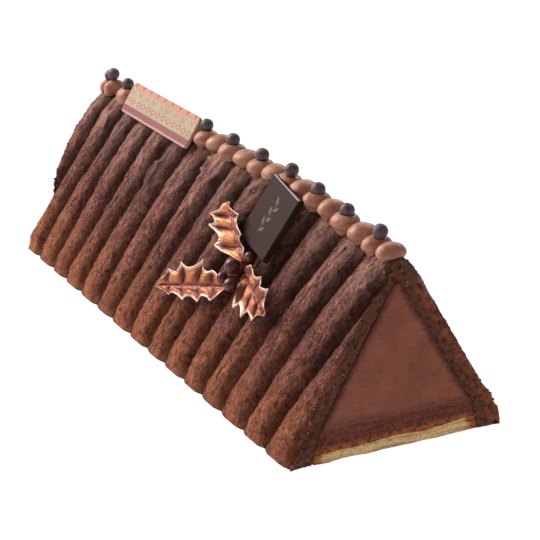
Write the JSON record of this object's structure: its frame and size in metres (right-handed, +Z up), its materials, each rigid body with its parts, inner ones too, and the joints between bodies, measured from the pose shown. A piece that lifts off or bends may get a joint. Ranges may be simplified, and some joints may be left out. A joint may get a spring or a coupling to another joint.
{
  "type": "yule log cake",
  "caption": "Tent-shaped yule log cake: mousse core on sponge under a fingered cocoa biscuit jacket, with ridge balls, pearls, plaque, tile and holly sprig.",
  "frame": {"origin": "middle of the flat base, on the surface the cake stands on", "axes": "+X along the ridge towards the shown cut end, -Y towards the decorated slope, +Z up"},
  "size_m": [0.2802, 0.0866, 0.0849],
  "materials": {
    "cocoa_biscuit": "matt, fine crumb",
    "mousse": "matt, fine pores",
    "dark_biscuit": "matt, moist crumb",
    "pale_sponge": "matt, open crumb",
    "cream": "satin, piped",
    "crunchy_pearl": "satin, glazed",
    "white_chocolate": "satin",
    "dark_chocolate": "satin",
    "copper_leaf": "metallic copper dusting",
    "berry": "glossy"
  },
  "bodies": {
    "root": {"cocoa_biscuit_jacket": "cocoa_biscuit", "mousse_core": "mousse", "dark_biscuit_layer": "dark_biscuit", "pale_sponge_sheet": "pale_sponge", "ridge_ball_1": "cream", "ridge_ball_2": "cream", "ridge_ball_3": "cream", "ridge_ball_4": "cream", "ridge_ball_5": "cream", "ridge_ball_6": "cream", "ridge_ball_7": "cream", "ridge_ball_8": "cream", "ridge_ball_9": "cream", "ridge_ball_10": "cream", "ridge_ball_11": "cream", "ridge_ball_12": "cream", "ridge_ball_13": "cream", "ridge_ball_14": "cream", "ridge_ball_15": "cream", "ridge_ball_16": "cream", "ridge_ball_17": "cream", "ridge_ball_18": "cream", "ridge_ball_19": "cream", "ridge_ball_20": "cream", "ridge_ball_21": "cream", "ridge_ball_22": "cream", "pearl_2": "crunchy_pearl", "pearl_4": "crunchy_pearl", "pearl_6": "crunchy_pearl", "pearl_8": "crunchy_pearl", "pearl_10": "crunchy_pearl", "pearl_12": "crunchy_pearl", "pearl_14": "crunchy_pearl", "pearl_20": "crunchy_pearl", "pearl_21": "crunchy_pearl", "pearl_22": "crunchy_pearl", "greeting_plaque": "white_chocolate", "chocolate_tile": "dark_chocolate", "holly_leaf_upper": "copper_leaf", "holly_leaf_back": "copper_leaf", "holly_leaf_front": "copper_leaf", "berry_top": "berry", "berry_left": "berry", "berry_bottom": "berry", "berry_behind": "berry"}
  },
  "joints": []
}
